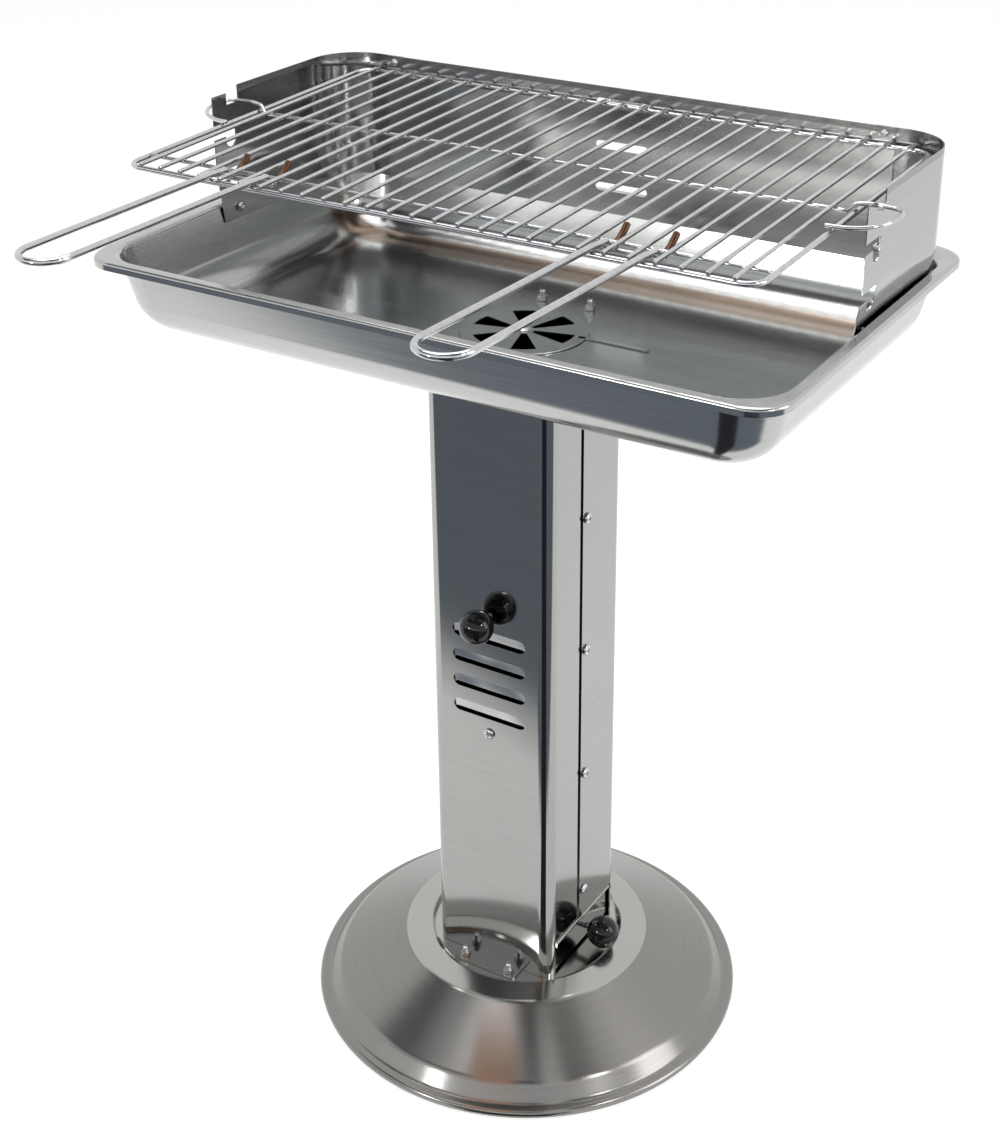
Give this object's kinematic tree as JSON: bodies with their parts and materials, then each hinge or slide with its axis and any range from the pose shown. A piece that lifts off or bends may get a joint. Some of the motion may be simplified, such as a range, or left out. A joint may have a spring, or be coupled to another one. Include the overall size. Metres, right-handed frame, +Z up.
{
  "type": "pedestal charcoal grill",
  "caption": "Steel charcoal grill on a square column and round foot: open pan, windshield, wire grate with hinged handles, sliding air damper, ash door.",
  "frame": {"origin": "on the ground, under the middle of the whole outline", "axes": "+Z up, +Y to the rear, where the windshield stands, +X to the right of someone facing the front, where the ash door is"},
  "size_m": [0.6138, 0.5774, 0.813],
  "materials": {
    "base_steel": "spun satin stainless steel",
    "column_steel": "polished stainless steel, close to a mirror",
    "bowl_steel": "satin stainless steel",
    "shield_steel": "semi-bright stainless sheet",
    "grate_chrome": "bright plated wire",
    "fastener_zinc": "bright zinc plate",
    "knob_plastic": "glossy black plastic"
  },
  "bodies": {
    "stand": {"base_plate": "base_steel", "column_front_shell": "column_steel", "column_rear_shell": "column_steel", "seam_screw_left_1": "fastener_zinc", "seam_screw_left_2": "fastener_zinc", "seam_screw_left_3": "fastener_zinc", "seam_screw_left_4": "fastener_zinc", "seam_screw_right_1": "fastener_zinc", "seam_screw_right_2": "fastener_zinc", "seam_screw_right_3": "fastener_zinc", "seam_screw_right_4": "fastener_zinc", "foot_bolt_front_left": "fastener_zinc", "foot_bolt_front_right": "fastener_zinc", "foot_bolt_rear_left": "fastener_zinc", "foot_bolt_rear_right": "fastener_zinc", "foot_nut_front_left": "fastener_zinc", "foot_nut_front_right": "fastener_zinc", "foot_nut_rear_left": "fastener_zinc", "foot_nut_rear_right": "fastener_zinc", "damper_guide_screw": "fastener_zinc", "damper_guide_nut": "fastener_zinc", "ash_door_pin": "fastener_zinc", "fire_bowl": "bowl_steel", "rosette_rivet": "fastener_zinc", "bowl_bolt_front_left": "fastener_zinc", "bowl_bolt_front_right": "fastener_zinc", "bowl_bolt_rear_left": "fastener_zinc", "bowl_bolt_rear_right": "fastener_zinc", "bowl_nut_front_left": "fastener_zinc", "bowl_nut_front_right": "fastener_zinc", "bowl_nut_rear_left": "fastener_zinc", "bowl_nut_rear_right": "fastener_zinc", "windshield_rear_panel": "shield_steel", "windshield_left_wing": "shield_steel", "windshield_right_wing": "shield_steel", "windshield_bolt_left_top": "fastener_zinc", "windshield_bolt_left_foot": "fastener_zinc", "windshield_bolt_right_top": "fastener_zinc", "windshield_bolt_right_foot": "fastener_zinc", "windshield_nut_left_top": "fastener_zinc", "windshield_nut_left_foot": "fastener_zinc", "windshield_nut_right_top": "fastener_zinc", "windshield_nut_right_foot": "fastener_zinc", "wing_bolt_left": "fastener_zinc", "wing_bolt_right": "fastener_zinc", "wing_nut_left": "fastener_zinc", "wing_nut_right": "fastener_zinc"},
    "damper": {"damper_plate": "shield_steel", "damper_knob_stem": "fastener_zinc", "damper_knob": "knob_plastic"},
    "ash_flap": {"ash_door": "column_steel", "ash_door_stem": "fastener_zinc", "ash_door_knob": "knob_plastic"},
    "rosette": {"air_rosette": "bowl_steel"},
    "grate": {"cooking_grate": "grate_chrome", "grate_ear_wire": "grate_chrome"},
    "left_lift": {"left_handle": "grate_chrome"},
    "right_lift": {"right_handle": "grate_chrome"}
  },
  "joints": [
    {"name": "damper_slide", "type": "slide", "parent": "stand", "child": "damper", "axis": [0, 0, 1], "range_m": [-0.0038, 0.0044]},
    {"name": "ash_door_hinge", "type": "hinge", "parent": "stand", "child": "ash_flap", "pos_m": [0.05525, 0.09394, 0.087], "axis": [0, -1, 0], "range_deg": [0, 75]},
    {"name": "rosette_turn", "type": "hinge", "parent": "stand", "child": "rosette", "pos_m": [-0.0049, 0.09394, 0.65], "axis": [0, 0, 1], "range_deg": [-30, 0]},
    {"name": "grate_tilt", "type": "hinge", "parent": "stand", "child": "grate", "pos_m": [-0.0049, 0.25574, 0.79888], "axis": [-1, 0, 0], "range_deg": [0, 25]},
    {"name": "left_handle_hinge", "type": "hinge", "parent": "grate", "child": "left_lift", "pos_m": [-0.1642, -0.06837, 0.79105], "axis": [-1, 0, 0], "range_deg": [0, 50]},
    {"name": "right_handle_hinge", "type": "hinge", "parent": "grate", "child": "right_lift", "pos_m": [0.1656, -0.06837, 0.79105], "axis": [-1, 0, 0], "range_deg": [0, 50]}
  ]
}
